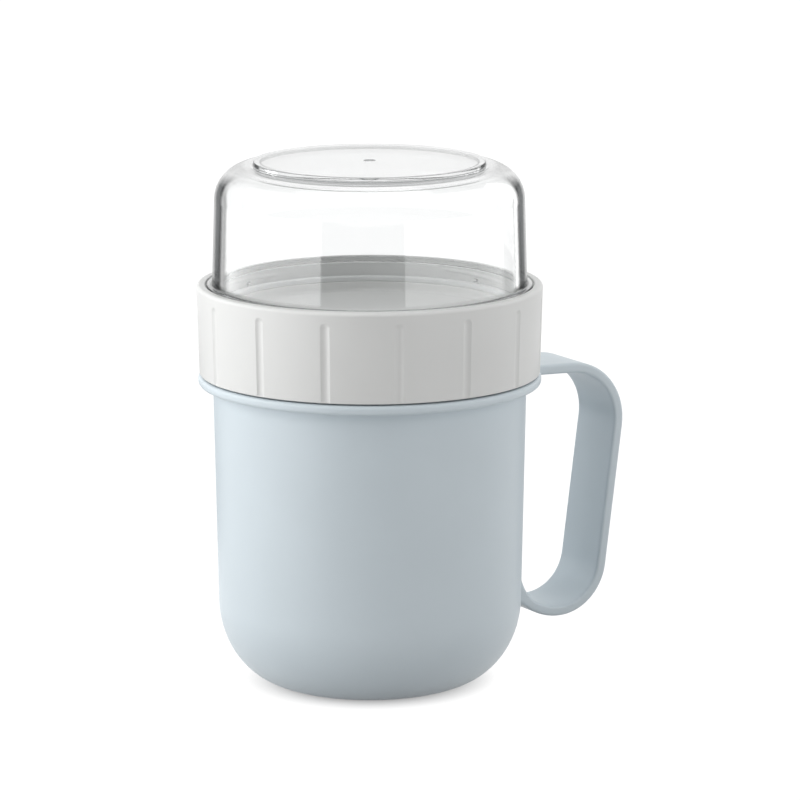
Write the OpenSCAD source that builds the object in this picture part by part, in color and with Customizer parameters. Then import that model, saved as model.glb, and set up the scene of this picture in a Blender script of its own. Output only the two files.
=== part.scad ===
// Soup mug to carry: a handled mug, a screw collar that closes it and carries a tray, and a clear
// screw-on dome over the tray. Lengths are in millimetres and angles in degrees.
// The origin is at the middle of the foot, +Z is up and the handle points along +X.

/* [Mug] */
// Outer radius of the mug's wall where it meets the flange
mug_r = 49.9; // [46:0.1:56]
// Height of the flange's underside above the table
shoulder_h = 97; // [90:0.5:120]
// Lean of the mug's wall from vertical
mug_draft = 1.1; // [0.5:0.1:2]
// Radius of the rounded corner between wall and foot
mug_corner_r = 24; // [16:0.5:26]
// Thickness of the mug's wall and floor
mug_wall = 2.4; // [1.8:0.1:2.8]
// Width of the flat ring that the mug stands on
foot_ring_w = 6.5; // [4:0.5:10]
// Depth of the recess under the foot
foot_recess_h = 0.8; // [0.3:0.1:1.2]

/* [Flange and neck] */
// Thickness of the flange under the collar
flange_t = 3.1; // [2.8:0.1:4]
// Rounding of the flange's edge
flange_round = 1.2; // [0.4:0.1:1.3]
// How far the flange stands out past the collar's lower edge
flange_lip = 0.4; // [0:0.1:1]
// How far the neck stands out from the mug's wall
neck_step = 0.4; // [0.2:0.1:1]
// Height of the neck above the flange
neck_h = 17.7; // [15:0.1:22]
// Rounding of the rim's outer edge
rim_round = 0.8; // [0.3:0.1:1]
// Bevel of the rim's inner edge
rim_bevel = 0.5; // [0.2:0.1:0.6]

/* [Handle] */
// Width of the handle's strap
handle_w = 22.5; // [16:0.5:28]
// Thickness of the strap
handle_t = 3.3; // [2.6:0.1:4]
// Rounding of the strap's edges
handle_round = 0.7; // [0.5:0.1:1.2]
// Radius of the strap's middle line in the upper bend
upper_bend_r = 18.3; // [13:0.1:20]
// Radius of the strap's middle line in the lower bend
lower_bend_r = 16; // [13:0.1:20]
// Distance from the mug's wall to the centre of the upper bend
handle_reach = 19.5; // [18:0.1:26]
// How much nearer the mug the centre of the lower bend lies
handle_tuck = 3.8; // [2:0.1:8]
// Distance down from the upper bend's centre to the lower one's
handle_drop = 46.3; // [40:0.1:50]
// How far the upper arm's top face lies above the flange's underside
handle_rise = 1; // [0.5:0.1:2]
// How much fuller the straight grip is than the bends
grip_pad = 0.1; // [0.05:0.05:0.4]
// How far the straight grip runs on into each bend
grip_lap = 1.5; // [1:0.1:2]
// How deep the lower end of the strap runs into the mug's wall
root_sink = 1.2; // [1:0.1:2.2]

/* [Collar] */
// Gap between the flange and the collar's lower edge
collar_gap = 0.5; // [0.3:0.1:1]
// Radial room for the screw thread between the neck and the skirt
thread_room = 1.7; // [1.4:0.1:2.2]
// Thickness of the skirt's wall at its lower edge
collar_wall = 2.2; // [2:0.1:3]
// Lean of the collar's outer face from vertical
collar_draft = 1.6; // [0.5:0.1:2.5]
// Rounding of the collar's top outer edge
collar_round = 1.1; // [0.5:0.1:1.3]
// Bevel at the mouth of the skirt
skirt_bevel = 0.6; // [0.2:0.1:1]
// Thickness of the ledge that holds both seals
ledge_t = 2; // [1.6:0.1:2.6]
// Radial gap between the plug and the mug's mouth
plug_gap = 0.4; // [0.3:0.1:0.8]
// Thickness of the plug's wall and of the tray's floor
plug_wall = 1.8; // [1.4:0.1:2.4]
// Depth of the tray below the ledge
tray_depth = 3.1; // [2.4:0.1:4]

/* [Grip flutes] */
// Number of flutes round the collar
flute_count = 15; // [8:1:24]
// Radius of the cutter of a flute, from its middle to its corners
flute_cutter_r = 2.4; // [1.5:0.1:3.5]
// Number of sides of the cutter, so that a flute has narrow flats
flute_sides = 12; // [8:4:12]
// Depth of a flute
flute_depth = 0.5; // [0.2:0.05:0.7]
// Distance from a flute's upper tip to the collar's top
flute_end = 3.6; // [3:0.1:8]
// Slope at which a flute runs out at its upper tip
flute_runout = 15; // [10:1:30]
// Turn of the first flute from the handle
flute_phase = 9.4; // [0:0.1:24]

/* [Dome] */
// Height of the dome's top above the collar
dome_h = 39.1; // [30:0.1:60]
// Thickness of the dome's wall
dome_wall = 2.2; // [1.6:0.1:2.8]
// Lean of the dome's wall from vertical
dome_draft = 1.8; // [0.5:0.1:3]
// Radius of the dome's shoulder
dome_shoulder_r = 11; // [7:0.5:14]
// Width of the flat ring between the dome's shoulder and the raised disc on its top
disc_margin = 1.4; // [0.5:0.1:6]
// Height of the raised disc
disc_h = 1.2; // [0.6:0.1:1.8]
// Radius of the moulding gate's mark in the middle of the disc
gate_r = 1.4; // [0.8:0.1:2]
// Depth of the gate's mark
gate_h = 0.4; // [0.2:0.1:0.8]
// Height of the spigot that screws into the collar
spigot_h = 4.4; // [4:0.1:7]
// How far the spigot steps in from the dome's wall
spigot_step = 0.2; // [0.1:0.1:0.5]
// Thickness of the dome's flange
dome_flange_t = 1.6; // [1.2:0.1:2.2]
// Width of the collar's wall round the dome's thread
socket_wall = 3.2; // [2.8:0.1:4]
// Radial room for the screw thread between the spigot and the socket
dome_thread_room = 1.2; // [1:0.1:1.6]
// Width of the step that the dome's flange lies over
flange_seat = 0.8; // [0.6:0.1:1.2]
// Gap beside and below the dome's flange
flange_gap = 0.4; // [0.3:0.05:0.6]

/* [Seals] */
// Thickness of the seal between the mug and the collar
mug_seal_t = 1.8; // [1.2:0.1:2.6]
// Thickness of the seal between the collar and the dome
dome_seal_t = 1.6; // [1.2:0.1:2.4]
// Gap beside each seal in its groove
seal_gap = 0.3; // [0.2:0.05:0.5]
// Rounding of the seals' edges
seal_round = 0.4; // [0.2:0.05:0.5]

/* [Hidden] */
$fn = 128;

// How far a cutter runs past the face that it cuts
overrun = 1;
mug_colour = "#bccbd5";
collar_colour = "#e9e9e7";
seal_colour = "#d9dcdc";
dome_colour = "#eef4f6";

// Heights, from the table up
flange_top_z = shoulder_h + flange_t;
rim_z = flange_top_z + neck_h;
collar_z = flange_top_z + collar_gap;
ledge_under_z = rim_z + mug_seal_t;
ledge_z = ledge_under_z + ledge_t;
tray_z = ledge_z - tray_depth;
plug_under_z = tray_z - plug_wall;
dome_rim_z = ledge_z + dome_seal_t;
dome_flange_z = dome_rim_z + spigot_h;
collar_top_z = dome_flange_z + dome_flange_t;
rebate_z = dome_flange_z - flange_gap;
dome_top_z = collar_top_z + dome_h;

// Centre of the mug's rounded corner, and the recess that leaves the ring to stand on
mug_corner = [mug_face_r(mug_corner_r, 0) - mug_corner_r / cos(mug_draft), mug_corner_r];
foot_recess_r = mug_corner.x - foot_ring_w;

// Radii of the mug's neck and mouth and of the collar that fits them
neck_r = mug_r + neck_step;
mouth_r = mug_face_r(rim_z, mug_wall);
skirt_r = neck_r + thread_room;
collar_low_r = skirt_r + collar_wall;
collar_top_r = collar_low_r + (collar_top_z - collar_z) * tan(collar_draft);
flange_r = collar_low_r + flange_lip;
plug_r = mouth_r - plug_gap;
tray_r = plug_r - plug_wall;

// Radii of the collar's socket and of the dome that fits it
socket_r = collar_low_r - socket_wall;
spigot_r = socket_r - dome_thread_room;
dome_r = spigot_r + spigot_step;
dome_flange_r = socket_r + flange_seat;
rebate_r = dome_flange_r + flange_gap;

// Centre of the dome's rounded shoulder, and the raised disc inside it
dome_shoulder_z = dome_top_z - disc_h;
dome_corner_z = dome_shoulder_z - dome_shoulder_r;
dome_corner = [dome_face_r(dome_corner_z, 0) - dome_shoulder_r / cos(dome_draft), dome_corner_z];
disc_r = dome_corner.x - disc_margin;

// Places of the handle's bends, in the plane of the handle
upper_bend = [mug_r + handle_reach, shoulder_h + handle_rise - handle_t / 2 - upper_bend_r];
lower_bend = upper_bend - [handle_tuck, handle_drop];
// The straight grip touches both bends, so it leans further where the upper bend is the wider one
bend_span = norm([handle_tuck, handle_drop]);
bend_spread = upper_bend_r - lower_bend_r;
handle_lean = atan2(handle_tuck, handle_drop) + asin(bend_spread / bend_span);
grip_length = sqrt(pow(bend_span, 2) - pow(bend_spread, 2)) + 2 * grip_lap;
// The root bend brings the strap's inner face up and into the wall, at its two edges as well
root_wall_r = mug_face_r(lower_bend.y, 0);
root_x = sqrt(pow(root_wall_r, 2) - pow(handle_w / 2, 2)) - root_sink;
root_bend_r = lower_bend.x - root_x + handle_t / 2;
root_bend = [lower_bend.x, lower_bend.y - lower_bend_r + root_bend_r];

// Radius of the mug's wall at height z, drawn in by inset
function mug_face_r(z, inset) =
    mug_r - (shoulder_h - z) * tan(mug_draft) - inset / cos(mug_draft);

// Radius of the dome's wall at height z, drawn in by inset
function dome_face_r(z, inset) =
    dome_r - (z - collar_top_z) * tan(dome_draft) - inset / cos(dome_draft);

// Rectangle with four round corners, about the origin
module rounded_square(size, r) {
    square([size.x - 2 * r, size.y], center = true);
    square([size.x, size.y - 2 * r], center = true);
    for (x = [-1, 1], y = [-1, 1])
        translate([x * (size.x / 2 - r), y * (size.y / 2 - r)])
            circle(r);
}

// Quarter of a disc about the origin, outwards along x and up or down along y
module quarter_disc(r, up) {
    intersection() {
        circle(r);
        translate([0, up ? 0 : -r])
            square(r);
    }
}

// Half outline of the mug below height top, drawn in by inset
module mug_outline(inset, top) {
    corner_r = mug_corner_r - inset;
    translate(mug_corner)
        quarter_disc(corner_r, false);
    polygon([
        [0, inset],
        [mug_corner.x, inset],
        mug_corner + corner_r * [cos(mug_draft), -sin(mug_draft)],
        [mug_face_r(top, inset), top],
        [0, top]
    ]);
}

// Half outline of the flange, from the wall's middle out to its rounded edge
module flange_outline() {
    inner_r = mug_r - mug_wall / 2;
    translate([inner_r, shoulder_h])
        square([flange_r - flange_round - inner_r, flange_t]);
    translate([inner_r, shoulder_h + flange_round])
        square([flange_r - inner_r, flange_t - 2 * flange_round]);
    for (z = [shoulder_h + flange_round, flange_top_z - flange_round])
        translate([flange_r - flange_round, z])
            circle(flange_round);
}

// Half outline of the neck, with its outer edge rounded
module neck_outline() {
    inner_r = mug_r - mug_wall;
    translate([inner_r, shoulder_h])
        square([neck_r - inner_r, rim_z - rim_round - shoulder_h]);
    translate([inner_r, shoulder_h])
        square([neck_r - rim_round - inner_r, rim_z - shoulder_h]);
    translate([neck_r - rim_round, rim_z - rim_round])
        circle(rim_round);
}

// Cross-section of the handle's strap: thickness along x and width along y, fuller by pad
module strap_section(pad = 0) {
    rounded_square([handle_t + pad, handle_w + pad], handle_round);
}

// Straight run of strap along +X, fuller by pad
module strap_run(length, pad = 0) {
    rotate([90, 0, 90])
        linear_extrude(length)
            strap_section(pad);
}

// Bend of the strap about the Z axis
module strap_bend(r, start, angle) {
    rotate([0, 0, start])
        rotate_extrude(angle = angle)
            translate([r, 0])
                strap_section();
}

// Handle: upper arm, upper bend, leaning grip, lower bend and the root bend into the wall
module handle() {
    rotate([90, 0, 0]) {
        translate([root_x, upper_bend.y + upper_bend_r])
            strap_run(upper_bend.x - root_x);
        translate(upper_bend)
            strap_bend(upper_bend_r, 90, -90 - handle_lean);
        translate(lower_bend)
            rotate([0, 0, -handle_lean])
                translate([lower_bend_r, -grip_lap])
                    rotate([0, 0, 90])
                        strap_run(grip_length, grip_pad);
        translate(lower_bend)
            strap_bend(lower_bend_r, -90, 90 - handle_lean);
        translate(root_bend)
            strap_bend(root_bend_r, 180, 90);
    }
}

// Space inside the mug, with the bevel at the rim
module mug_cavity() {
    rotate_extrude() {
        mug_outline(mug_wall, rim_z + overrun);
        polygon([
            [0, rim_z - rim_bevel],
            [mouth_r, rim_z - rim_bevel],
            [mouth_r + rim_bevel, rim_z],
            [mouth_r + rim_bevel, rim_z + overrun],
            [0, rim_z + overrun]
        ]);
    }
}

// Mug with its flange, neck and handle, moulded in one piece
module mug() {
    color(mug_colour)
        difference() {
            union() {
                rotate_extrude() {
                    mug_outline(0, shoulder_h + flange_t / 2);
                    flange_outline();
                    neck_outline();
                }
                handle();
            }
            mug_cavity();
            translate([0, 0, -overrun])
                cylinder(r = foot_recess_r, h = foot_recess_h + overrun);
        }
}

// Flat ring of soft rubber with rounded edges, standing on height z
module seal_ring(inner_r, outer_r, thickness, z) {
    color(seal_colour)
        rotate_extrude()
            translate([(inner_r + outer_r) / 2, z + thickness / 2])
                rounded_square([outer_r - inner_r, thickness], seal_round);
}

// Seal under the collar's ledge, which the mug's rim presses on
module mug_seal() {
    seal_ring(plug_r + seal_gap, skirt_r - seal_gap, mug_seal_t, rim_z);
}

// Seal on the collar's ledge, which the dome's rim presses on
module dome_seal() {
    seal_ring(tray_r + seal_gap, socket_r - seal_gap, dome_seal_t, ledge_z);
}

// Half outline of the collar: tray and plug, ledge, skirt, rounded top edge, rebate and socket
module collar_outline() {
    round_z = collar_top_z - collar_round;
    round_r = collar_top_r - collar_round * (tan(collar_draft) + 1 / cos(collar_draft));
    translate([round_r, round_z])
        circle(collar_round);
    polygon([
        [0, plug_under_z],
        [plug_r, plug_under_z],
        [plug_r, ledge_under_z],
        [skirt_r, ledge_under_z],
        [skirt_r, collar_z + skirt_bevel],
        [skirt_r + skirt_bevel, collar_z],
        [collar_low_r, collar_z],
        [round_r + collar_round * cos(collar_draft), round_z - collar_round * sin(collar_draft)],
        [round_r, collar_top_z],
        [rebate_r, collar_top_z],
        [rebate_r, rebate_z],
        [socket_r, rebate_z],
        [socket_r, ledge_z],
        [tray_r, ledge_z],
        [tray_r, tray_z],
        [0, tray_z]
    ]);
}

// Cutter of one flute: a bar along the collar's leaning face, and one that slopes out of it
module flute_cutter() {
    tip = flute_depth / tan(flute_runout);
    length = collar_top_z - flute_end - collar_z - tip;
    translate([collar_low_r - flute_depth, 0, collar_z])
        rotate([0, collar_draft, 0]) {
            translate([flute_cutter_r, 0, -overrun])
                cylinder(r = flute_cutter_r, h = length + overrun, $fn = flute_sides);
            translate([0, 0, length])
                rotate([0, flute_runout, 0])
                    translate([flute_cutter_r, 0, 0])
                        cylinder(r = flute_cutter_r, h = tip + overrun, $fn = flute_sides);
        }
}

// Screw collar with its tray and grip flutes
module collar() {
    color(collar_colour)
        difference() {
            rotate_extrude()
                collar_outline();
            for (i = [0 : flute_count - 1])
                rotate([0, 0, flute_phase + i * 360 / flute_count])
                    flute_cutter();
        }
}

// Half outline of the dome from height low up, drawn in by inset, with the disc on its top
module dome_outline(inset, low) {
    corner_r = dome_shoulder_r - inset;
    translate(dome_corner)
        quarter_disc(corner_r, true);
    polygon([
        [0, low],
        [dome_face_r(low, inset), low],
        dome_corner + corner_r * [cos(dome_draft), sin(dome_draft)],
        [dome_corner.x, dome_shoulder_z - inset],
        [disc_r - inset, dome_shoulder_z - inset],
        [disc_r - inset, dome_top_z - inset],
        [0, dome_top_z - inset]
    ]);
}

// Clear dome with its disc, flange and spigot
module dome() {
    color(dome_colour, 0.35)
        difference() {
            rotate_extrude() {
                dome_outline(0, collar_top_z - dome_flange_t / 2);
                translate([0, dome_flange_z])
                    square([dome_flange_r, dome_flange_t]);
                translate([0, dome_rim_z])
                    square([spigot_r, spigot_h + dome_flange_t]);
            }
            rotate_extrude()
                dome_outline(dome_wall, dome_rim_z - overrun);
            translate([0, 0, dome_top_z - gate_h])
                cylinder(r = gate_r, h = gate_h + overrun);
        }
}

mug();
mug_seal();
collar();
dome_seal();
dome();
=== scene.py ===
import math

import bmesh
import bpy
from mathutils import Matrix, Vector


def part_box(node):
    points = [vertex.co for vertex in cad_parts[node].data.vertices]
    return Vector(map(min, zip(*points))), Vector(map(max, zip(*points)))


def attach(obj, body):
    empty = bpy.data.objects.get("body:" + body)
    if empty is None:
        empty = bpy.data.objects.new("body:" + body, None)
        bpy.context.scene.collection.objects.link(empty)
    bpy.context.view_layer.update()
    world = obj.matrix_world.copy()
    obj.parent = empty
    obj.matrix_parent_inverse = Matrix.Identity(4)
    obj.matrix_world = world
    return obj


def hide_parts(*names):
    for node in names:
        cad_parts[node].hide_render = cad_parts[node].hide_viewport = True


# Soup mug: fine mouldings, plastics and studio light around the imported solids. Lengths are in metres.
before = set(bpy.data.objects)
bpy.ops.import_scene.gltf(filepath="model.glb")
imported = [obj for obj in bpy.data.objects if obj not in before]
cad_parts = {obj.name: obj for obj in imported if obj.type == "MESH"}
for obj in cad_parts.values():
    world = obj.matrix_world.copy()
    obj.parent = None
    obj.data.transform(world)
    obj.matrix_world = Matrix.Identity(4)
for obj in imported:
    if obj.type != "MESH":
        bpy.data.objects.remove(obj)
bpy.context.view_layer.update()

# Places that the frame gives
mug_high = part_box("mug")[1]
mug_seal_low, mug_seal_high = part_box("mug_seal")
collar_low, collar_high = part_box("collar")
dome_seal_low, dome_seal_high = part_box("dome_seal")
dome_low, dome_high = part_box("dome")
FLANGE_R = mug_high.y
RIM_Z = mug_high.z
COLLAR_Z = collar_low.z
COLLAR_TOP_Z = collar_high.z
LEDGE_UNDER_Z = mug_seal_high.z
LEDGE_Z = dome_seal_low.z
DOME_RIM_Z = dome_low.z
DOME_TOP_Z = dome_high.z
DOME_FLANGE_R = dome_high.y

# Mug
MUG_R = 0.0499
MUG_DRAFT = math.radians(1.1)
MUG_WALL = 0.0024
CORNER_W = 0.022
CORNER_H = 0.027
INNER_CORNER_R = 0.0216
FOOT_RING_W = 0.0085
FOOT_RECESS = 0.0008
FOOT_ROUND = 0.0005
FLANGE_T = 0.0031
FLANGE_ROUND = 0.0012
FLANGE_FILLET = 0.0006
COLLAR_GAP = 0.0005
NECK_STEP = 0.0004
RIM_ROUND = 0.0008

# Handle
STRAP_W = 0.0225
STRAP_T = 0.0033
STRAP_ROUND = 0.0009
UPPER_BEND_R = 0.0183
LOWER_BEND_R = 0.016
REACH = 0.0195
TUCK = 0.0038
DROP = 0.0463
RISE = 0.00115
ARM_SLOPE = math.radians(2)
ARM_DEPTH = 0.0011
ARM_FILLET = 0.0006

# Root of the handle, where each pair is for the strap's inner and outer face
ROOT_BEND_R = 0.0195
ROOT_TURN = (math.radians(120), math.radians(128))
ROOT_PULL = (0.0075, 0.0018)
ROOT_SWING_Z = (0.033, 0.0206)
ROOT_SWING_OUT = (0.0012, 0.002)
ROOT_END_Z = (0.05, 0.0206)
ROOT_DEPTH = (0.0001, 0.0005)
ROOT_FILLET = (0.0016, 0.0)

# Collar
COLLAR_DRAFT = math.radians(1.6)
COLLAR_ROUND = 0.0011
COLLAR_WALL = 0.0022
SKIRT_BEVEL = 0.0006
SEAL_GAP = 0.0003
PLUG_GAP = 0.0004
PLUG_WALL = 0.0018
TRAY_DEPTH = 0.0031
TRAY_ROUND = 0.0012
EDGE_ROUND = 0.00035
FLANGE_GAP = 0.0004

# Grip flutes
FLUTES = 15
FLUTE_PHASE = math.radians(9.4)
FLUTE_CUTTER_R = 0.0024
FLUTE_DEPTH = 0.0005
FLUTE_END = 0.0036

# Dome
DOME_WALL = 0.0022
DOME_DRAFT = math.radians(1.8)
SHOULDER_R = 0.011
DISC_MARGIN = 0.0014
DISC_H = 0.0012
DISC_ROUND = 0.0002
DISC_FILLET = 0.0002
GATE_R = 0.0018
GATE_H = 0.0004
GATE_ROUND = 0.0002
SPIGOT_H = 0.0044
SPIGOT_STEP = 0.0002
SPIGOT_ROOM = 0.0012
DOME_EDGE_ROUND = 0.0003
DOME_FILLET = 0.0006

# Screw threads, which rise by the same lead in each turn
LEAD = 0.012
NECK_STARTS = 2
NECK_RIDGE_H = 0.0012
NECK_RIDGE_W = 0.002
NECK_FLANK = 0.0008
NECK_MARGIN = 0.0022
LUG_H = 0.0006
LUG_W = 0.0009
LUG_FLANK = 0.0005
LUG_SPAN = math.radians(2)
LUG_ANGLES = tuple(math.radians(angle) for angle in (14.5, 114.5, 194.5, 294.5))
LUG_RISE = 0.0008
RAMP_LIFT = 0.0015
RAMP_H = 0.0006
RAMP_SPAN = math.radians(30)

# Seals
SEAL_ROUND = 0.0004
SEAL_GROOVE = 0.0003

# Fineness of the meshes
ROUND_STEPS = 256
DOME_STEPS = 400
ARC_STEP = math.radians(11)
ARC_LEAST_STEPS = 3
SUPPORT = 0.00025
THREAD_STEP = 0.00025
WALL_STEP = 0.001
FLUTE_STEP = 0.00025
FLUTE_SHARES = (-1.09, -1, -0.85, -0.6, -0.3, 0, 0.3, 0.6, 0.85, 1, 1.09)
LAND_STEPS = 10
FLAT_STEPS = 18
SIDE_STEPS = 4
STRAP_ROUND_STEPS = 6
CORNER_STEPS = 20
BEND_STEPS = 18
GRIP_STEPS = 26
ROOT_STEPS = 40
TINY = 1e-7


def mug_face_r(z, inset=0.0):
    """Radius of the mug's straight wall at height z, drawn in by inset."""
    return MUG_R - (SHOULDER_Z - z) * math.tan(MUG_DRAFT) - inset / math.cos(MUG_DRAFT)


def dome_face_r(z, inset=0.0):
    """Radius of the dome's straight wall at height z, drawn in by inset."""
    return DOME_R - (z - COLLAR_TOP_Z) * math.tan(DOME_DRAFT) - inset / math.cos(DOME_DRAFT)


# Heights and radii that follow
FLANGE_TOP_Z = COLLAR_Z - COLLAR_GAP
SHOULDER_Z = FLANGE_TOP_Z - FLANGE_T
NECK_R = MUG_R + NECK_STEP
CORNER_TURN = math.atan(math.tan(MUG_DRAFT) * CORNER_H / CORNER_W)
CORNER_TOP_Z = CORNER_H * (1 - math.sin(CORNER_TURN))
CORNER_CENTRE_R = mug_face_r(CORNER_TOP_Z) - CORNER_W * math.cos(CORNER_TURN)
FOOT_RECESS_R = CORNER_CENTRE_R - FOOT_RING_W
MOUTH_R = mug_face_r(RIM_Z, MUG_WALL)
SKIRT_R = mug_seal_high.y + SEAL_GAP
COLLAR_LOW_R = SKIRT_R + COLLAR_WALL
PLUG_R = MOUTH_R - PLUG_GAP
TRAY_R = PLUG_R - PLUG_WALL
TRAY_Z = LEDGE_Z - TRAY_DEPTH
PLUG_UNDER_Z = TRAY_Z - PLUG_WALL
SOCKET_R = dome_seal_high.y + SEAL_GAP
SPIGOT_R = SOCKET_R - SPIGOT_ROOM
DOME_R = SPIGOT_R + SPIGOT_STEP
DOME_FLANGE_Z = DOME_RIM_Z + SPIGOT_H
DOME_SHOULDER_Z = DOME_TOP_Z - DISC_H
SHOULDER_CENTRE_Z = DOME_SHOULDER_Z - SHOULDER_R
DISC_R = dome_face_r(SHOULDER_CENTRE_Z, SHOULDER_R) - DISC_MARGIN
REBATE_Z = DOME_FLANGE_Z - FLANGE_GAP
REBATE_R = DOME_FLANGE_R + FLANGE_GAP
FLUTE_PERIOD = 2 * math.pi / FLUTES
FLUTE_HALF_W = math.sqrt(FLUTE_CUTTER_R ** 2 - (FLUTE_CUTTER_R - FLUTE_DEPTH) ** 2)
FLUTE_TOP_Z = COLLAR_TOP_Z - FLUTE_END


def share(value, low, high):
    """Where value lies between low and high, from 0 to 1."""
    return min(1.0, max(0.0, (value - low) / (high - low)))


def smooth(t):
    """Share t eased at both ends."""
    return t * t * (3 - 2 * t)


# Outlines and turned meshes
def corner_arc(before, corner, after, radius):
    """Points of the arc that rounds a corner of an outline."""
    if radius < TINY:
        return [corner]
    back = (before - corner).normalized()
    ahead = (after - corner).normalized()
    half = back.angle(ahead) / 2
    centre = corner + (back + ahead).normalized() * (radius / math.sin(half))
    start = corner + back * (radius / math.tan(half)) - centre
    sweep = start.angle_signed(corner + ahead * (radius / math.tan(half)) - centre)
    steps = max(ARC_LEAST_STEPS, math.ceil(abs(sweep) / ARC_STEP))
    points = []
    for i in range(steps + 1):
        turn = -sweep * i / steps
        cos, sin = math.cos(turn), math.sin(turn)
        points.append(centre + Vector((start.x * cos - start.y * sin, start.x * sin + start.y * cos)))
    return points


def straight(start, end, step):
    """Points between two arcs: one near each end to hold the shading, and a row at the given step."""
    length = (end - start).length
    if length < 4 * SUPPORT:
        return []
    marks = [SUPPORT]
    if step:
        count = math.ceil(length / step)
        row = [length * i / count for i in range(1, count)]
        marks += [mark for mark in row if SUPPORT < mark < length - SUPPORT]
    marks.append(length - SUPPORT)
    way = (end - start) / length
    return [start + way * mark for mark in marks]


def outline(corners, closed=False):
    """Points of an outline from corners (r, z, rounding, step along the way to the next corner)."""
    corners = [(list(c) + [0, 0])[:4] for c in corners]
    spots = [Vector(c[:2]) for c in corners]
    count = len(spots)
    arcs = []
    for i in range(count):
        end_point = not closed and i in (0, count - 1)
        radius = 0 if end_point else corners[i][2]
        arcs.append(corner_arc(spots[i - 1], spots[i], spots[(i + 1) % count], radius))
    points = []
    for i in range(count):
        points += arcs[i]
        if closed or i < count - 1:
            points += straight(arcs[i][-1], arcs[(i + 1) % count][0], corners[i][3])
    return points


def even_angles(count=ROUND_STEPS):
    """Angles of one turn in equal steps."""
    return [2 * math.pi * i / count for i in range(count)]


def turned(name, points, angles, closed=False, shape=None):
    """Mesh of an outline turned round the Z axis. shape(r, z, angle) gives a point's real radius."""
    verts, rings, faces = [], [], []
    for r, z in points:
        ring = []
        for angle in angles if r > TINY else [0.0]:
            real_r = shape(r, z, angle) if shape else r
            ring.append(len(verts))
            verts.append((real_r * math.cos(angle), real_r * math.sin(angle), z))
        rings.append(ring)
    pairs = list(zip(rings, rings[1:] + rings[:1]))
    for low, high in pairs if closed else pairs[:-1]:
        for i in range(len(angles)):
            j = (i + 1) % len(angles)
            corners = [low[i % len(low)], low[j % len(low)], high[j % len(high)], high[i % len(high)]]
            faces.append(list(dict.fromkeys(corners)))
    return solid(name, verts, faces)


def add_object(name, data):
    """New object in the scene."""
    obj = bpy.data.objects.new(name, data)
    bpy.context.scene.collection.objects.link(obj)
    return obj


def solid(name, verts, faces):
    """Smooth object with its faces turned outwards."""
    mesh = bpy.data.meshes.new(name)
    mesh.from_pydata(verts, [], faces)
    shell = bmesh.new()
    shell.from_mesh(mesh)
    bmesh.ops.recalc_face_normals(shell, faces=shell.faces)
    shell.to_mesh(mesh)
    shell.free()
    mesh.shade_smooth()
    return add_object(name, mesh)


def ridge(z, angle, first_z, starts, width, flank):
    """Height, from 0 to 1, of a screw thread's ridges at a height and an angle."""
    pitch = LEAD / starts
    off = (z - first_z - LEAD * angle / (2 * math.pi) + pitch / 2) % pitch - pitch / 2
    return smooth(share(width / 2 + flank / 2 - abs(off), 0, flank))


# Mug
def wall_r(z):
    """Radius of the mug's outer face at height z, the rounded corner included."""
    if z > CORNER_TOP_Z:
        return mug_face_r(z)
    return CORNER_CENTRE_R + CORNER_W * math.sqrt(max(0.0, 1 - (1 - z / CORNER_H) ** 2))


def neck_shape(r, z, angle):
    """Neck with its thread's ridges, which fade out at both ends."""
    low, high = FLANGE_TOP_Z + NECK_MARGIN, RIM_Z - NECK_MARGIN
    if abs(r - NECK_R) > TINY or not low < z < high:
        return r
    fade = share(z, low, low + NECK_FLANK) * share(z, high, high - NECK_FLANK)
    return r + NECK_RIDGE_H * fade * ridge(z, angle, low, NECK_STARTS, NECK_RIDGE_W, NECK_FLANK)


def base_corner():
    """Points of the quarter ellipse that rounds the base, from the foot up to the wall."""
    points = []
    for i in range(CORNER_STEPS + 1):
        angle = math.pi / 2 + (CORNER_TURN - math.pi / 2) * i / CORNER_STEPS
        r = CORNER_CENTRE_R + CORNER_W * math.cos(angle)
        points.append(Vector((r, CORNER_H * (1 - math.sin(angle)))))
    return points


def mug_outline():
    """Mug from the foot's middle, up outside and down inside, to the floor's middle."""
    corner = base_corner()
    foot = outline([
        (0, FOOT_RECESS),
        (FOOT_RECESS_R, FOOT_RECESS, FOOT_ROUND),
        (FOOT_RECESS_R, 0, FOOT_ROUND / 2),
        corner[0],
    ])
    above = outline([
        (*corner[-1], 0, WALL_STEP),
        (mug_face_r(SHOULDER_Z), SHOULDER_Z, FLANGE_FILLET),
        (FLANGE_R, SHOULDER_Z, FLANGE_ROUND),
        (FLANGE_R, FLANGE_TOP_Z, FLANGE_ROUND),
        (NECK_R, FLANGE_TOP_Z, EDGE_ROUND, THREAD_STEP),
        (NECK_R, RIM_Z, RIM_ROUND),
        (MOUTH_R, RIM_Z, RIM_ROUND),
        (mug_face_r(MUG_WALL, MUG_WALL), MUG_WALL, INNER_CORNER_R),
        (0, MUG_WALL),
    ])
    return foot + corner[1:-1] + above


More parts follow.
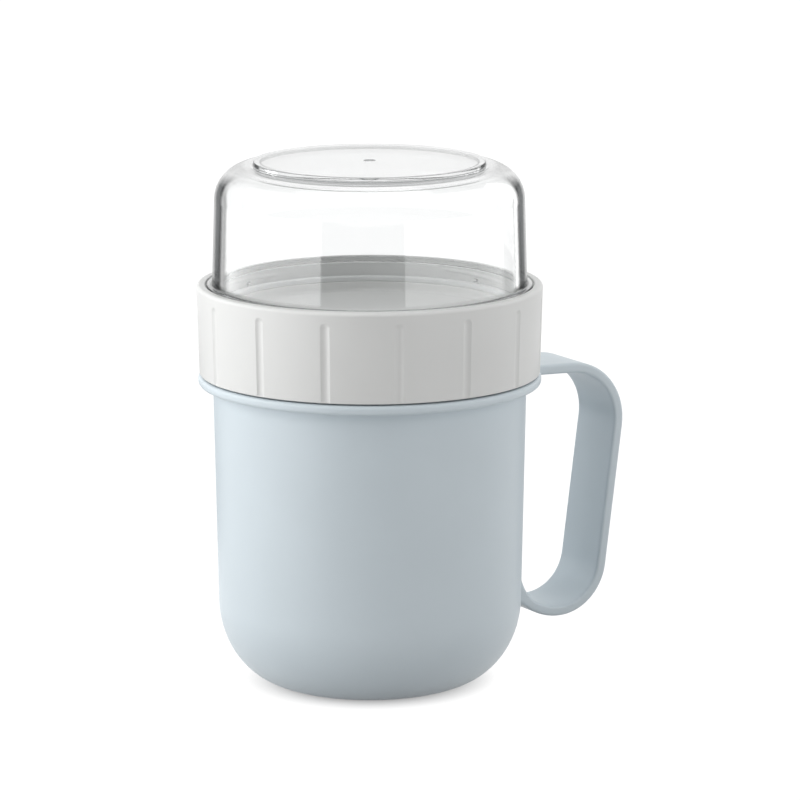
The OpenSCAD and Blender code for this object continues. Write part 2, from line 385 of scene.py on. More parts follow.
def strap_section():
    """Points of the strap's section: (out of the loop, across, and the outward direction of both)."""
    inner_t, inner_w = STRAP_T / 2 - STRAP_ROUND, STRAP_W / 2 - STRAP_ROUND
    points = []
    for quarter, (side_t, side_w) in enumerate([(1, 1), (-1, 1), (-1, -1), (1, -1)]):
        for i in range(STRAP_ROUND_STEPS + 1):
            angle = math.pi / 2 * (quarter + i / STRAP_ROUND_STEPS)
            n_t, n_w = math.cos(angle), math.sin(angle)
            t, w = side_t * inner_t + STRAP_ROUND * n_t, side_w * inner_w + STRAP_ROUND * n_w
            points.append((t, w, n_t, n_w))
        on_face = quarter in (1, 3)
        steps = FLAT_STEPS if on_face else SIDE_STEPS
        for way in [1 - 2 * i / steps for i in range(1, steps)]:
            if on_face:
                points.append((side_t * STRAP_T / 2, side_w * inner_w * way, side_t, 0.0))
            else:
                points.append((side_t * inner_t * way, side_w * STRAP_W / 2, 0.0, side_w))
    return points


def on_circle(centre, radius, angle):
    """Point of a circle."""
    return centre + Vector((math.cos(angle), math.sin(angle))) * radius


def bend(centre, radius, start, end, steps):
    """Points of an arc, without its last one."""
    return [on_circle(centre, radius, start + (end - start) * i / steps) for i in range(steps)]


def run(start, end, steps):
    """Points of a straight line, without its last one."""
    return [start.lerp(end, i / steps) for i in range(steps)]


def for_face(pair, t):
    """Value for a line of the strap, between those of the inner and the outer face."""
    return pair[0] + (pair[1] - pair[0]) * share(t, -STRAP_T / 2, STRAP_T / 2)


def root_curve(start, heading, t, y):
    """Way of one line of the strap into the wall: the inner face climbs it, the outer one flattens."""

    def off_wall(z, gap):
        return Vector((math.sqrt(wall_r(z) ** 2 - y ** 2) + gap, z))

    first = start + heading * for_face(ROOT_PULL, t)
    second = off_wall(for_face(ROOT_SWING_Z, t), for_face(ROOT_SWING_OUT, t))
    end = off_wall(for_face(ROOT_END_Z, t), -for_face(ROOT_DEPTH, t))
    points = []
    for i in range(ROOT_STEPS + 1):
        way = i / ROOT_STEPS
        back = 1 - way
        points.append(
            start * back ** 3 + first * (3 * back ** 2 * way)
            + second * (3 * back * way ** 2) + end * way ** 3
        )
    return points


def strap_line(t, y):
    """Path of one line of the strap, as points (x, z) from the flange round to the root."""
    upper = Vector((MUG_R + REACH, SHOULDER_Z + RISE - STRAP_T / 2 - UPPER_BEND_R))
    lower = upper - Vector((TUCK, DROP))
    lean = math.atan2(TUCK, DROP) + math.asin((UPPER_BEND_R - LOWER_BEND_R) / math.hypot(TUCK, DROP))
    root = lower + Vector((0, ROOT_BEND_R - LOWER_BEND_R))
    root_turn = -for_face(ROOT_TURN, t)
    arm_turn = math.pi / 2 - ARM_SLOPE
    arm_end = on_circle(upper, UPPER_BEND_R + t, arm_turn)
    arm_start_x = math.sqrt((mug_face_r(arm_end.y) - ARM_DEPTH) ** 2 - y ** 2)
    arm_start = Vector((arm_start_x, arm_end.y + (arm_end.x - arm_start_x) * math.tan(ARM_SLOPE)))
    grip_start = on_circle(upper, UPPER_BEND_R + t, -lean)
    grip_end = on_circle(lower, LOWER_BEND_R + t, -lean)
    heading = Vector((math.sin(root_turn), -math.cos(root_turn)))
    return [
        *run(arm_start, arm_end, ROOT_STEPS),
        *bend(upper, UPPER_BEND_R + t, arm_turn, -lean, BEND_STEPS),
        *run(grip_start, grip_end, GRIP_STEPS),
        *bend(lower, LOWER_BEND_R + t, -lean, -math.pi / 2, BEND_STEPS),
        *bend(root, ROOT_BEND_R + t, -math.pi / 2, root_turn, BEND_STEPS),
        *root_curve(on_circle(root, ROOT_BEND_R + t, root_turn), heading, t, y),
    ]


def swell(off_wall, fillet):
    """How far a face moves out near the wall, so that it runs into it in a fillet."""
    near = share(off_wall, fillet, 0)
    return fillet * (1 - math.sqrt(max(0.0, 1 - near ** 2)))


def filleted_line(t, y, n_t, n_w):
    """One line of the strap in space, moved out by the fillets where it runs into the mug."""
    path = strap_line(t, y)
    line = []
    for i, spot in enumerate(path):
        out = math.hypot(spot.x, y)
        if i < len(path) / 2:
            mug_r = FLANGE_R if spot.y > SHOULDER_Z else wall_r(spot.y)
            more = swell(out - mug_r, ARM_FILLET)
            line.append((spot.x, y + more * n_w, spot.y + more * n_t))
        else:
            fade = smooth(share(spot.y, ROOT_END_Z[0], ROOT_SWING_Z[0]))
            more = fade * swell(out - wall_r(spot.y), max(TINY, for_face(ROOT_FILLET, t)))
            line.append((spot.x, y + more * n_w, spot.y))
    return line


def handle():
    """Strap of the handle, with closed ends that lie in the mug's wall."""
    lines = [filleted_line(*point) for point in strap_section()]
    around, along = len(lines), len(lines[0])
    verts = [point for line in lines for point in line]
    faces = []
    for i in range(around):
        j = (i + 1) % around
        for k in range(along - 1):
            faces.append([i * along + k, j * along + k, j * along + k + 1, i * along + k + 1])
    for k in (0, along - 1):
        ring = [i * along + k for i in range(around)]
        middle = sum((Vector(verts[i]) for i in ring), Vector()) / around
        verts.append(tuple(middle))
        faces += [[ring[i], ring[(i + 1) % around], len(verts) - 1] for i in range(around)]
    return solid("handle", verts, faces)


def fused(name, body, addition):
    """One object of two solids that run into each other."""
    joiner = body.modifiers.new("fuse", "BOOLEAN")
    joiner.operation = "UNION"
    joiner.solver = "EXACT"
    joiner.object = addition
    shaped = body.evaluated_get(bpy.context.evaluated_depsgraph_get())
    mesh = bpy.data.meshes.new_from_object(shaped)
    for old in (body, addition):
        bpy.data.objects.remove(old)
    mesh.name = name
    mesh.shade_smooth()
    return add_object(name, mesh)


def make_mug():
    """Mug with its neck's thread and its handle, as one moulding."""
    body = turned("body", mug_outline(), even_angles(), shape=neck_shape)
    return fused("mug_moulding", body, handle())


# Collar
def collar_angles():
    """Angles round the collar, close together at the flutes and wider on the lands."""
    half = FLUTE_HALF_W / COLLAR_LOW_R
    edge = FLUTE_SHARES[-1] * half
    land = FLUTE_PERIOD - 2 * edge
    angles = []
    for i in range(FLUTES):
        middle = FLUTE_PHASE + i * FLUTE_PERIOD
        angles += [middle + s * half for s in FLUTE_SHARES]
        angles += [middle + edge + land * k / LAND_STEPS for k in range(1, LAND_STEPS)]
    return angles


def collar_face_r(z):
    """Radius of the collar's outer face at height z."""
    return COLLAR_LOW_R + (z - COLLAR_Z) * math.tan(COLLAR_DRAFT)


def flute_depth(r, z, angle):
    """Depth of the round-ended flutes at a point of the collar's outer face."""
    off = (angle - FLUTE_PHASE + FLUTE_PERIOD / 2) % FLUTE_PERIOD - FLUTE_PERIOD / 2
    past = max(0.0, z - (FLUTE_TOP_Z - FLUTE_HALF_W))
    reach = (r * off) ** 2 + past ** 2
    return max(0.0, math.sqrt(max(0.0, FLUTE_CUTTER_R ** 2 - reach)) - (FLUTE_CUTTER_R - FLUTE_DEPTH))


def skirt_thread(z, angle):
    """Height of the skirt's ridges, which run midway between the neck's."""
    low, high = COLLAR_Z + NECK_MARGIN, LEDGE_UNDER_Z - NECK_MARGIN
    first_z = FLANGE_TOP_Z + NECK_MARGIN + LEAD / NECK_STARTS / 2
    fade = share(z, low, low + NECK_FLANK) * share(z, high, high - NECK_FLANK)
    return NECK_RIDGE_H * fade * ridge(z, angle, first_z, NECK_STARTS, NECK_RIDGE_W, NECK_FLANK)


def lug_height(z, angle, lift, span):
    """Height, from 0 to 1, of the dome's lugs or, raised by lift, of the ramps that they ride under."""
    turns = [(angle - lug + math.pi) % (2 * math.pi) - math.pi for lug in LUG_ANGLES]
    off = min(turns, key=abs)
    fade = smooth(share(span / 2 + LUG_FLANK / SPIGOT_R - abs(off), 0, 2 * LUG_FLANK / SPIGOT_R))
    rise = z - (DOME_RIM_Z + LUG_RISE + lift) - LEAD * off / (2 * math.pi)
    return fade * smooth(share(LUG_W / 2 + LUG_FLANK / 2 - abs(rise), 0, LUG_FLANK))


def ramp_height(z, angle):
    """Height of the socket's ramps, which fade out toward the ledge and the rebate."""
    low = LEDGE_Z + LUG_W
    fade = share(z, REBATE_Z, REBATE_Z - LUG_FLANK) * share(z, low, low + LUG_FLANK)
    return RAMP_H * fade * lug_height(z, angle, RAMP_LIFT, RAMP_SPAN)


def collar_shape(r, z, angle):
    """Collar with its flutes outside, and its thread and ramps inside."""
    if r > COLLAR_LOW_R - TINY:
        return r - flute_depth(r, z, angle)
    if abs(r - SKIRT_R) < TINY:
        return r - skirt_thread(z, angle)
    if abs(r - SOCKET_R) < TINY:
        return r - ramp_height(z, angle)
    return r


def collar_outline():
    """Collar from the plug's middle, down and up the skirt, to the tray's middle."""
    flute_low = FLUTE_TOP_Z - 2 * FLUTE_HALF_W
    flute_high = FLUTE_TOP_Z + FLUTE_HALF_W
    return outline([
        (0, PLUG_UNDER_Z),
        (PLUG_R, PLUG_UNDER_Z, EDGE_ROUND),
        (PLUG_R, LEDGE_UNDER_Z, EDGE_ROUND),
        (SKIRT_R, LEDGE_UNDER_Z, EDGE_ROUND, THREAD_STEP),
        (SKIRT_R, COLLAR_Z + SKIRT_BEVEL, EDGE_ROUND / 2),
        (SKIRT_R + SKIRT_BEVEL, COLLAR_Z, EDGE_ROUND / 2),
        (COLLAR_LOW_R, COLLAR_Z, EDGE_ROUND),
        (collar_face_r(flute_low), flute_low, 0, FLUTE_STEP),
        (collar_face_r(flute_high), flute_high),
        (collar_face_r(COLLAR_TOP_Z), COLLAR_TOP_Z, COLLAR_ROUND),
        (REBATE_R, COLLAR_TOP_Z, EDGE_ROUND),
        (REBATE_R, REBATE_Z, EDGE_ROUND / 2),
        (SOCKET_R, REBATE_Z, EDGE_ROUND / 2, THREAD_STEP),
        (SOCKET_R, LEDGE_Z, EDGE_ROUND / 2),
        (TRAY_R, LEDGE_Z, EDGE_ROUND),
        (TRAY_R, TRAY_Z, TRAY_ROUND),
        (0, TRAY_Z),
    ])


def make_collar():
    """Collar, turned in steps that follow its flutes."""
    return turned("collar_moulding", collar_outline(), collar_angles(), shape=collar_shape)


# Dome
def dome_shape(r, z, angle):
    """Spigot with its short lugs."""
    if abs(r - SPIGOT_R) > TINY:
        return r
    return r + LUG_H * lug_height(z, angle, 0, LUG_SPAN)


def dome_outline():
    """Dome from the gate mark, down outside and up inside, to the top's middle."""
    inner_top_z = DOME_TOP_Z - DOME_WALL
    inner_shoulder_z = DOME_SHOULDER_Z - DOME_WALL
    return outline([
        (0, DOME_TOP_Z - GATE_H),
        (GATE_R, DOME_TOP_Z - GATE_H, GATE_ROUND),
        (GATE_R, DOME_TOP_Z, GATE_ROUND),
        (DISC_R, DOME_TOP_Z, DISC_ROUND),
        (DISC_R, DOME_SHOULDER_Z, DISC_FILLET),
        (dome_face_r(DOME_SHOULDER_Z), DOME_SHOULDER_Z, SHOULDER_R),
        (dome_face_r(COLLAR_TOP_Z), COLLAR_TOP_Z, DOME_FILLET),
        (DOME_FLANGE_R, COLLAR_TOP_Z, DOME_EDGE_ROUND),
        (DOME_FLANGE_R, DOME_FLANGE_Z, DOME_EDGE_ROUND),
        (SPIGOT_R, DOME_FLANGE_Z, DOME_EDGE_ROUND / 2, THREAD_STEP),
        (SPIGOT_R, DOME_RIM_Z, DOME_EDGE_ROUND),
        (dome_face_r(DOME_RIM_Z, DOME_WALL), DOME_RIM_Z, DOME_EDGE_ROUND),
        (dome_face_r(inner_shoulder_z, DOME_WALL), inner_shoulder_z, SHOULDER_R - DOME_WALL),
        (DISC_R - DOME_WALL, inner_shoulder_z, DISC_ROUND),
        (DISC_R - DOME_WALL, inner_top_z, DISC_ROUND),
        (0, inner_top_z),
    ])


def make_dome():
    """Dome, in finer steps than the rest because light bends at its faces."""
    return turned("dome_moulding", dome_outline(), even_angles(DOME_STEPS), shape=dome_shape)


# Seals
def make_seal(name, inner_r, outer_r, low, high):
    """Soft ring with rounded edges and a groove round the middle of each face."""
    middle_r = (inner_r + outer_r) / 2
    groove = [(middle_r - 2 * SEAL_GROOVE, 0), (middle_r, SEAL_GROOVE), (middle_r + 2 * SEAL_GROOVE, 0)]
    under = [(r, low + depth, SEAL_GROOVE) for r, depth in groove]
    above = [(r, high - depth, SEAL_GROOVE) for r, depth in reversed(groove)]
    edge = [(outer_r, low, SEAL_ROUND), (outer_r, high, SEAL_ROUND)]
    corners = [(inner_r, low, SEAL_ROUND), *under, *edge, *above, (inner_r, high, SEAL_ROUND)]
    return turned(name, outline(corners, closed=True), even_angles(), closed=True)


# Moulded plastic and silicone
MUG_COLOUR = (0.632, 0.706, 0.75, 1)
MUG_ROUGHNESS = 0.42
COLLAR_COLOUR = (0.742, 0.747, 0.737, 1)
COLLAR_ROUGHNESS = 0.38
ROUGHNESS_SPREAD = 0.03
MOULDED_IOR = 1.49
NOISE_RANGE = (0.3, 0.7)
CLOUD_SCALE = 45
CLOUD_DETAIL = 3
CLOUD_SHARE = 0.012
GLOSS_SCALE = 270
GLOSS_DETAIL = 4
GRAIN_SCALE = 2600
GRAIN_DETAIL = 2
GRAIN_STRENGTH = 0.35
RELIEF_DEPTH = 0.00001
SEAL_COLOUR = (0.72, 0.73, 0.73, 1)
SEAL_ROUGHNESS = (0.45, 0.6)
SEAL_GLOSS_SCALE = 360
SEAL_IOR = 1.41
SEAL_SCATTER_SHARE = 0.3
SEAL_SCATTER_R = 0.001

# Clear plastic
CLEAR_COLOUR = (0.985, 0.99, 0.99, 1)
CLEAR_ROUGHNESS = (0.0, 0.03)
CLEAR_IOR = 1.53
CLEAR_GLOSS_SCALE = 180
CLEAR_GLOSS_DETAIL = 3
WAVE_SCALE = 90
WAVE_DETAIL = 2
WAVE_STRENGTH = 0.2
CLEAR_SHADE = (0.8, 0.805, 0.805, 1)
SPIGOT_SHADE = (0.98, 0.98, 0.98, 1)
# Painted shade at the clear plastic's edges: a dark base colour and a grey see-through cover where its wall
# is seen edge on
EDGE_SHADE_COLOUR = (0.03, 0.033, 0.035, 1)
EDGE_SHADE_COVER = (0.34, 0.347, 0.35, 1)
EDGE_SHADE_COVER_SHARE = 0.78
# Painted shade of what is seen through many walls, in the light let out after the last bounce
DEEP_BOUNCE_SHADE = (0.4, 0.41, 0.41, 1)
LAST_BOUNCE = 5.5

# Painted shade at the edges of the clear plastic: EDGE and RIM say how edge-on a face is seen, LYING how
# flat it lies
OUTER_EDGE = (0.66, 0.71)
OUTER_RIM = (0.8, 0.88)
RIM_SHARE = 0.5
INNER_EDGE = (0.71, 0.77)
INNER_SHARE = 0.93
LYING_EDGE = (0.62, 0.95)
LYING_SHARE = 0.35
OUTER_LYING = (0.5, 0.88)
INNER_LYING = (0.1, 0.4)
FLAT_LYING = (0.97, 0.999)
FLAT_SHARE = 0.25


# Materials
def new_material(name):
    """Material with its nodes and links."""
    material = bpy.data.materials.new(name)
    material.use_nodes = True
    return material, material.node_tree.nodes, material.node_tree.links


def noise(nodes, links, scale, detail):
    """Noise in the object's own space, so that it stays on the piece as it moves."""
    place = nodes.new("ShaderNodeTexCoord")
    texture = nodes.new("ShaderNodeTexNoise")
    texture.inputs["Scale"].default_value = scale
    texture.inputs["Detail"].default_value = detail
    links.new(place.outputs["Object"], texture.inputs["Vector"])
    return texture.outputs["Fac"]


def mapped(nodes, links, source, from_range, to_range=(0, 1)):
    """Node whose number goes from one range to another in step with its source."""
    spread = nodes.new("ShaderNodeMapRange")
    for name, value in zip(("From Min", "From Max", "To Min", "To Max"), (*from_range, *to_range)):
        spread.inputs[name].default_value = value
    links.new(source, spread.inputs["Value"])
    return spread


def ramp(nodes, links, source, from_range, to_range=(0, 1)):
    """Number that goes from one range to another in step with its source."""
    return mapped(nodes, links, source, from_range, to_range).outputs["Result"]


def calculated(nodes, links, operation, first, second):
    """Result of a sum on two numbers, each a socket or a plain value."""
    step = nodes.new("ShaderNodeMath")
    step.operation = operation
    for socket, value in zip(step.inputs, (first, second)):
        if isinstance(value, (int, float)):
            socket.default_value = value
        else:
            links.new(value, socket)
    return step.outputs["Value"]


def product(nodes, links, first, *others):
    """Product of numbers."""
    for other in others:
        first = calculated(nodes, links, "MULTIPLY", first, other)
    return first


def mixed_colour(nodes, links, amount, first, second):
    """Colour that goes from the first to the second as amount goes from 0 to 1."""
    mix = nodes.new("ShaderNodeMix")
    mix.data_type = "RGBA"
    mix.inputs["A"].default_value = first
    mix.inputs["B"].default_value = second
    links.new(amount, mix.inputs["Factor"])
    return mix.outputs["Result"]


def clouded(nodes, links, colour):
    """Colour with the faint clouds of a pigmented moulding."""
    clouds = ramp(nodes, links, noise(nodes, links, CLOUD_SCALE, CLOUD_DETAIL), NOISE_RANGE)
    darker = [c * (1 - CLOUD_SHARE) for c in colour[:3]] + [1]
    paler = [c * (1 + CLOUD_SHARE) for c in colour[:3]] + [1]
    return mixed_colour(nodes, links, clouds, darker, paler)


def uneven_gloss(nodes, links, shader, scale, detail, roughness_range):
    """Lets a shader's roughness wander over a range."""
    spots = noise(nodes, links, scale, detail)
    links.new(ramp(nodes, links, spots, NOISE_RANGE, roughness_range), shader.inputs["Roughness"])


def relief(nodes, links, shader, scale, detail, strength):
    """Gives a shader a fine relief."""
    bump = nodes.new("ShaderNodeBump")
    bump.inputs["Strength"].default_value = strength
    bump.inputs["Distance"].default_value = RELIEF_DEPTH
    links.new(noise(nodes, links, scale, detail), bump.inputs["Height"])
    links.new(bump.outputs["Normal"], shader.inputs["Normal"])


def moulded_plastic(name, colour, roughness):
    """Satin moulded plastic: faint clouds, uneven gloss and a fine spark-eroded grain."""
    material, nodes, links = new_material(name)
    shader = nodes["Principled BSDF"]
    shader.inputs["IOR"].default_value = MOULDED_IOR
    links.new(clouded(nodes, links, colour), shader.inputs["Base Color"])
    roughness_range = (roughness - ROUGHNESS_SPREAD, roughness + ROUGHNESS_SPREAD)
    uneven_gloss(nodes, links, shader, GLOSS_SCALE, GLOSS_DETAIL, roughness_range)
    relief(nodes, links, shader, GRAIN_SCALE, GRAIN_DETAIL, GRAIN_STRENGTH)
    return material


def silicone():
    """Soft translucent silicone with a dull skin."""
    material, nodes, links = new_material("seal_silicone")
    shader = nodes["Principled BSDF"]
    shader.inputs["IOR"].default_value = SEAL_IOR
    shader.inputs["Subsurface Weight"].default_value = SEAL_SCATTER_SHARE
    shader.inputs["Subsurface Radius"].default_value = (SEAL_SCATTER_R, SEAL_SCATTER_R, SEAL_SCATTER_R)
    links.new(clouded(nodes, links, SEAL_COLOUR), shader.inputs["Base Color"])
    uneven_gloss(nodes, links, shader, SEAL_GLOSS_SCALE, GLOSS_DETAIL, SEAL_ROUGHNESS)
    return material


def outer_face(nodes, links, place):
    """1 on faces that look away from the frame's origin, as the dome's outer ones do, or else 0."""
    way = nodes.new("ShaderNodeVectorMath")
    way.operation = "DOT_PRODUCT"
    links.new(place.outputs["Object"], way.inputs[0])
    links.new(place.outputs["Normal"], way.inputs[1])
    return calculated(nodes, links, "GREATER_THAN", way.outputs["Value"], 0)


def flatness(nodes, links, place):
    """How flat a face lies, from 0 for an upright one to 1."""
    axes = nodes.new("ShaderNodeSeparateXYZ")
    links.new(place.outputs["Normal"], axes.inputs["Vector"])
    return calculated(nodes, links, "ABSOLUTE", axes.outputs["Z"], 0)


def painted_edge_shade(nodes, links):
    """Share, from 0 to 1, of the painted shade at a wall's edge: less at its outermost rim and on faces
    that lie flat.
    """
    place = nodes.new("ShaderNodeTexCoord")
    lying = flatness(nodes, links, place)
    facing = nodes.new("ShaderNodeLayerWeight").outputs["Facing"]
    upright_edge = product(
        nodes, links,
        ramp(nodes, links, facing, OUTER_EDGE),
        ramp(nodes, links, facing, OUTER_RIM, (1, RIM_SHARE)),
        ramp(nodes, links, lying, OUTER_LYING, (1, 0)),
    )
    lying_edge = product(
        nodes, links,
        ramp(nodes, links, facing, LYING_EDGE, (0, LYING_SHARE)),
        ramp(nodes, links, lying, OUTER_LYING),
        ramp(nodes, links, lying, FLAT_LYING, (1, FLAT_SHARE)),
    )
    inner_edge = product(
        nodes, links,
        ramp(nodes, links, facing, INNER_EDGE, (0, INNER_SHARE)),
        ramp(nodes, links, lying, INNER_LYING, (1, 0)),
    )
    outer_edge = calculated(nodes, links, "MAXIMUM", upright_edge, lying_edge)
    edge = mapped(nodes, links, outer_face(nodes, links, place), (0, 1))
    links.new(inner_edge, edge.inputs["To Min"])
    links.new(outer_edge, edge.inputs["To Max"])
    return edge.outputs["Result"]


def see_through(nodes, colour):
    """Shader that lets light straight through, tinted."""
    shader = nodes.new("ShaderNodeBsdfTransparent")
    shader.inputs["Color"].default_value = colour
    return shader.outputs["BSDF"]


def lamp_shade(nodes, links):
    """Tint of the lamps' light on its way through the wall, paler in the spigot, which is a second wall."""
    place = nodes.new("ShaderNodeTexCoord")
    axes = nodes.new("ShaderNodeSeparateXYZ")
    links.new(place.outputs["Object"], axes.inputs["Vector"])
    above = ramp(nodes, links, axes.outputs["Z"], (DOME_FLANGE_Z, COLLAR_TOP_Z))
    shader = nodes.new("ShaderNodeBsdfTransparent")
    links.new(mixed_colour(nodes, links, above, SPIGOT_SHADE, CLEAR_SHADE), shader.inputs["Color"])
    return shader.outputs["BSDF"]


def blended(nodes, links, amount, first, second):
    """Shader that goes from the first to the second as amount goes from 0 to 1."""
    mix = nodes.new("ShaderNodeMixShader")
    links.new(amount, mix.inputs["Fac"])
    links.new(first, mix.inputs[1])
    links.new(second, mix.inputs[2])
    return mix.outputs["Shader"]


def polished(nodes, links, edge):
    """Shader of slightly uneven clear plastic, darkened by the share of painted edge shade."""
    shader = nodes["Principled BSDF"]
    shader.inputs["Transmission Weight"].default_value = 1
    shader.inputs["IOR"].default_value = CLEAR_IOR
    links.new(mixed_colour(nodes, links, edge, CLEAR_COLOUR, EDGE_SHADE_COLOUR), shader.inputs["Base Color"])
    uneven_gloss(nodes, links, shader, CLEAR_GLOSS_SCALE, CLEAR_GLOSS_DETAIL, CLEAR_ROUGHNESS)
    relief(nodes, links, shader, WAVE_SCALE, WAVE_DETAIL, WAVE_STRENGTH)
    return shader.outputs["BSDF"]


def clear_plastic():
    """Clear plastic with painted shade where its wall is seen edge on, which lets the lamps' light through.
    """
    material, nodes, links = new_material("clear_plastic")
    edge = painted_edge_shade(nodes, links)
    # Painted shade: a grey see-through cover over the edges seen edge on
    shade_cover = calculated(nodes, links, "MULTIPLY", edge, EDGE_SHADE_COVER_SHARE)
    seen = blended(nodes, links, shade_cover, polished(nodes, links, edge), see_through(nodes, EDGE_SHADE_COVER))
    path = nodes.new("ShaderNodeLightPath")
    # Light that has bounced this often is let out straight, dimmed by a grey that paints the shade of what
    # is seen through many walls, where it would else be lost
    deep_bounce = calculated(nodes, links, "GREATER_THAN", path.outputs["Ray Depth"], LAST_BOUNCE)
    let_out = blended(nodes, links, deep_bounce, seen, see_through(nodes, DEEP_BOUNCE_SHADE))
    lamp_rays = path.outputs["Is Shadow Ray"], path.outputs["Is Diffuse Ray"]
    lamp_light = calculated(nodes, links, "MAXIMUM", *lamp_rays)
    shaded = blended(nodes, links, lamp_light, let_out, lamp_shade(nodes, links))
    links.new(shaded, nodes["Material Output"].inputs["Surface"])
    return material


# Pieces
def put(piece, material, body, node):
    """Gives a piece its material and the body that carries it, and hides the node that it stands for."""
    piece.data.materials.clear()
    piece.data.materials.append(material)
    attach(piece, body)
    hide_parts(node)


seal_material = silicone()
mug_material = moulded_plastic("mug_plastic", MUG_COLOUR, MUG_ROUGHNESS)
collar_material = moulded_plastic("collar_plastic", COLLAR_COLOUR, COLLAR_ROUGHNESS)
put(make_mug(), mug_material, "mug", "mug")
put(make_collar(), collar_material, "collar", "collar")
dome_piece = make_dome()
put(dome_piece, clear_plastic(), "dome", "dome")
put(make_seal("mug_seal_ring", PLUG_R + SEAL_GAP, SKIRT_R - SEAL_GAP, mug_seal_low.z, mug_seal_high.z),
    seal_material, "collar_carrier", "mug_seal")
put(make_seal("dome_seal_ring", TRAY_R + SEAL_GAP, SOCKET_R - SEAL_GAP, dome_seal_low.z, dome_seal_high.z),
    seal_material, "dome_carrier", "dome_seal")


# Camera, at the photograph's viewing angle
CAMERA_AZIMUTH = math.radians(-30)
CAMERA_REACH = 1.4
CAMERA_Z = 0.3753
CAMERA_PITCH = math.radians(11.475)
CAMERA_YAW = math.radians(0.393)
CAMERA_LENS = 201.56
CAMERA_SENSOR = 36

# Background and floor
WHITE = (1, 1, 1, 1)
WORLD_FRONT = 0.02
WORLD_BACK = 1.15
FLOOR_ALBEDO = 0.45
FLOOR_LIFT = 1.08
# Weaker glow of the paper near the object, a painted shade round its foot
CONTACT_SHADE_GLOW = 0.3
CONTACT_R = 0.028
OPEN_R = 0.042
FLOOR_SIZE = 8

# Lamps and dark cards, whose edges are in degrees to the right of the camera as seen from the object
PANEL_H = 0.6
DOME_PANEL_H = 0.105
KEY_EDGES = (-104, -35)
KEY_REACH = 0.55
KEY_RADIANCE = 2.25
FILL_EDGES = (25, 85)
FILL_REACH = 0.6
FILL_RADIANCE = 1.05
RIM_REACH = 0.6
LEFT_RIM_EDGES = (-125, -104)
LEFT_RIM_RADIANCE = 1.6
RIGHT_RIM_EDGES = (85, 112)
RIGHT_RIM_RADIANCE = 1.1
DOME_KEY_EDGES = (-125, -35)
DOME_KEY_RADIANCE = 1.95
DOME_STRIP_EDGES = (130, 141)
DOME_STRIP_RADIANCE = 1.45
TOP_Z = 0.7
TOP_SIZE = 0.5
TOP_RADIANCE = 1.0
FLAG_COLOUR = (0.03, 0.03, 0.03, 1)
FLAG_STEPS = 12
FLAG_Z = 0.001
FLAG_NEAR = 0.2
FRONT_FLAG_EDGES = (-35, 25)
FRONT_FLAG_REACH = 1.6
LEFT_FLAG_EDGES = (195, 230)
LEFT_FLAG_REACH = 0.62


def view_spot(off_camera, distance, z):
    """Place at an angle to the right of the camera, as seen from the object."""
    angle = CAMERA_AZIMUTH + off_camera
    return Vector((math.sin(angle) * distance, -math.cos(angle) * distance, z))


def make_camera():
    """Camera where the photograph was taken from."""
    data = bpy.data.cameras.new("camera")
    data.lens = CAMERA_LENS
    data.sensor_width = CAMERA_SENSOR
    camera = add_object("camera", data)
    camera.location = view_spot(0, CAMERA_REACH, CAMERA_Z)
    camera.rotation_euler = (math.pi / 2 - CAMERA_PITCH, 0, CAMERA_AZIMUTH - CAMERA_YAW)
    bpy.context.scene.camera = camera


# Background and floor
def seen_background(nodes, links):
    """1 for rays that show the background: from the camera, or by way of gloss or clear plastic."""
    path = nodes.new("ShaderNodeLightPath")
    value = path.outputs["Is Camera Ray"]
    for name in ("Is Glossy Ray", "Is Transmission Ray"):
        value = calculated(nodes, links, "MAXIMUM", value, path.outputs[name])
    return value


def make_world():
    """White background, and a dimmer light from all round that is strongest behind the object."""
    world = bpy.data.worlds.new("studio")
    bpy.context.scene.world = world
    world.use_nodes = True
    nodes, links = world.node_tree.nodes, world.node_tree.links
    place = nodes.new("ShaderNodeTexCoord")
    facing = nodes.new("ShaderNodeVectorMath")
    facing.operation = "DOT_PRODUCT"
    facing.inputs[1].default_value = -view_spot(0, 1, 0)
    links.new(place.outputs["Generated"], facing.inputs[0])
    strength = mapped(nodes, links, seen_background(nodes, links), (0, 1))
    around = ramp(nodes, links, facing.outputs["Value"], (-1, 1), (WORLD_FRONT, WORLD_BACK))
    links.new(around, strength.inputs["To Min"])
    background = nodes["Background"]
    background.inputs["Color"].default_value = WHITE
    links.new(strength.outputs["Result"], background.inputs["Strength"])


def floor_paper():
    """Pale paper that runs into the white background and keeps the shadow where the object stands, glowing
    less near it, which paints shade round its foot.
    """
    material, nodes, links = new_material("floor_paper")
    paper = nodes["Principled BSDF"]
    paper.inputs["Roughness"].default_value = 1
    paper.inputs["Specular IOR Level"].default_value = 0
    paper.inputs["Emission Color"].default_value = WHITE
    place = nodes.new("ShaderNodeTexCoord")
    reach = nodes.new("ShaderNodeVectorMath")
    reach.operation = "LENGTH"
    links.new(place.outputs["Object"], reach.inputs[0])
    distance = reach.outputs["Value"]
    seen = seen_background(nodes, links)
    # Painted shade: the paper glows less near the object, on top of its real shadow
    lift = ramp(nodes, links, distance, (CONTACT_R, OPEN_R), (CONTACT_SHADE_GLOW, FLOOR_LIFT))
    links.new(product(nodes, links, seen, lift), paper.inputs["Emission Strength"])
    faded = product(nodes, links, seen, ramp(nodes, links, distance, (CONTACT_R, OPEN_R)))
    links.new(ramp(nodes, links, faded, (0, 1), (FLOOR_ALBEDO, 0)), paper.inputs["Base Color"])
    return material


def make_floor():
    """Square floor round the frame's origin."""
    half = FLOOR_SIZE / 2
    corners = [(-half, -half, 0), (half, -half, 0), (half, half, 0), (-half, half, 0)]
    mesh = bpy.data.meshes.new("floor")
    mesh.from_pydata(corners, [], [(0, 1, 2, 3)])
    mesh.materials.append(floor_paper())
    add_object("floor", mesh)


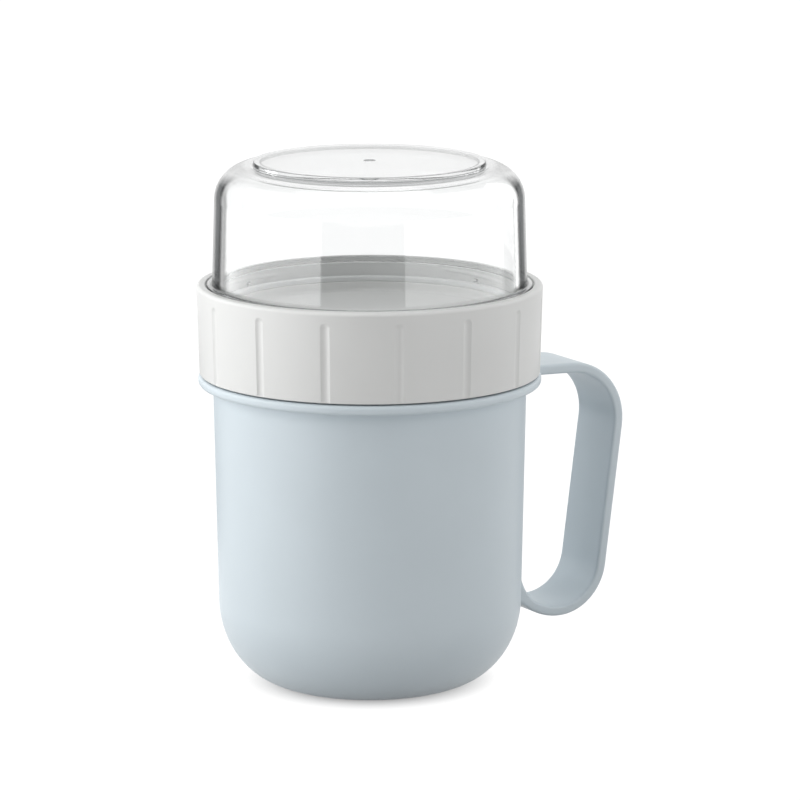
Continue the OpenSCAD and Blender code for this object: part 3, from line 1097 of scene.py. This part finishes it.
# Lamps and dark cards
def area_lamp(name, width, height, radiance):
    """Soft flat lamp, which the camera doesn't see."""
    data = bpy.data.lights.new(name, "AREA")
    data.shape = "RECTANGLE"
    data.size = width
    data.size_y = height
    data.energy = radiance * math.pi * width * height
    lamp = add_object(name, data)
    lamp.visible_camera = False
    return lamp


def softbox(name, edges, distance, radiance, diffuse=True, height=PANEL_H):
    """Upright lamp between two angles off the camera. Without diffuse it shows only in gloss."""
    left, right = (math.radians(edge) for edge in edges)
    middle = (left + right) / 2
    lamp = area_lamp(name, 2 * distance * math.tan((right - left) / 2), height, radiance)
    lamp.location = view_spot(middle, distance, height / 2)
    lamp.rotation_euler = (math.pi / 2, 0, CAMERA_AZIMUTH + middle)
    lamp.visible_diffuse = diffuse
    return lamp


def link_light(lamp, piece, state):
    """Lets a lamp shine on one piece alone (INCLUDE), or on everything else (EXCLUDE)."""
    lit = bpy.data.collections.new(lamp.name + "_on")
    lit.objects.link(piece)
    lit.collection_objects[0].light_linking.link_state = state
    lamp.light_linking.receiver_collection = lit


def make_lamps(dome):
    """Tall lamps for all but the dome, which has its own, and one overhead for everything."""
    tall = [
        softbox("key", KEY_EDGES, KEY_REACH, KEY_RADIANCE),
        softbox("fill", FILL_EDGES, FILL_REACH, FILL_RADIANCE),
        softbox("left_rim", LEFT_RIM_EDGES, RIM_REACH, LEFT_RIM_RADIANCE, diffuse=False),
        softbox("right_rim", RIGHT_RIM_EDGES, RIM_REACH, RIGHT_RIM_RADIANCE, diffuse=False),
    ]
    low = {"diffuse": False, "height": DOME_PANEL_H}
    own = [
        softbox("dome_fill", FILL_EDGES, FILL_REACH, FILL_RADIANCE, **low),
        softbox("dome_rim", RIGHT_RIM_EDGES, RIM_REACH, RIGHT_RIM_RADIANCE, **low),
        softbox("dome_key", DOME_KEY_EDGES, KEY_REACH, DOME_KEY_RADIANCE, **low),
        softbox("dome_strip", DOME_STRIP_EDGES, RIM_REACH, DOME_STRIP_RADIANCE, diffuse=False),
    ]
    for lamp in tall:
        link_light(lamp, dome, "EXCLUDE")
    for lamp in own:
        link_light(lamp, dome, "INCLUDE")
    area_lamp("top", TOP_SIZE, TOP_SIZE, TOP_RADIANCE).location = (0, 0, TOP_Z)


def flag(name, edges, reach):
    """Dark card on the floor between two angles off the camera, which shows only in gloss."""
    left, right = (math.radians(edge) for edge in edges)
    angles = [left + (right - left) * i / FLAG_STEPS for i in range(FLAG_STEPS + 1)]
    row = len(angles)
    verts = [view_spot(angle, distance, FLAG_Z) for distance in (FLAG_NEAR, reach) for angle in angles]
    faces = [(i, i + 1, row + i + 1, row + i) for i in range(FLAG_STEPS)]
    mesh = bpy.data.meshes.new(name)
    mesh.from_pydata(verts, [], faces)
    material = new_material(name)[0]
    shader = material.node_tree.nodes["Principled BSDF"]
    shader.inputs["Base Color"].default_value = FLAG_COLOUR
    shader.inputs["Roughness"].default_value = 1
    mesh.materials.append(material)
    card = add_object(name, mesh)
    card.visible_camera = False
    card.visible_diffuse = False
    card.visible_transmission = False
    card.visible_shadow = False


make_camera()
make_world()
make_floor()
make_lamps(dome_piece)
flag("front_flag", FRONT_FLAG_EDGES, FRONT_FLAG_REACH)
flag("left_flag", LEFT_FLAG_EDGES, LEFT_FLAG_REACH)

bpy.context.scene.view_settings.view_transform = "Standard"
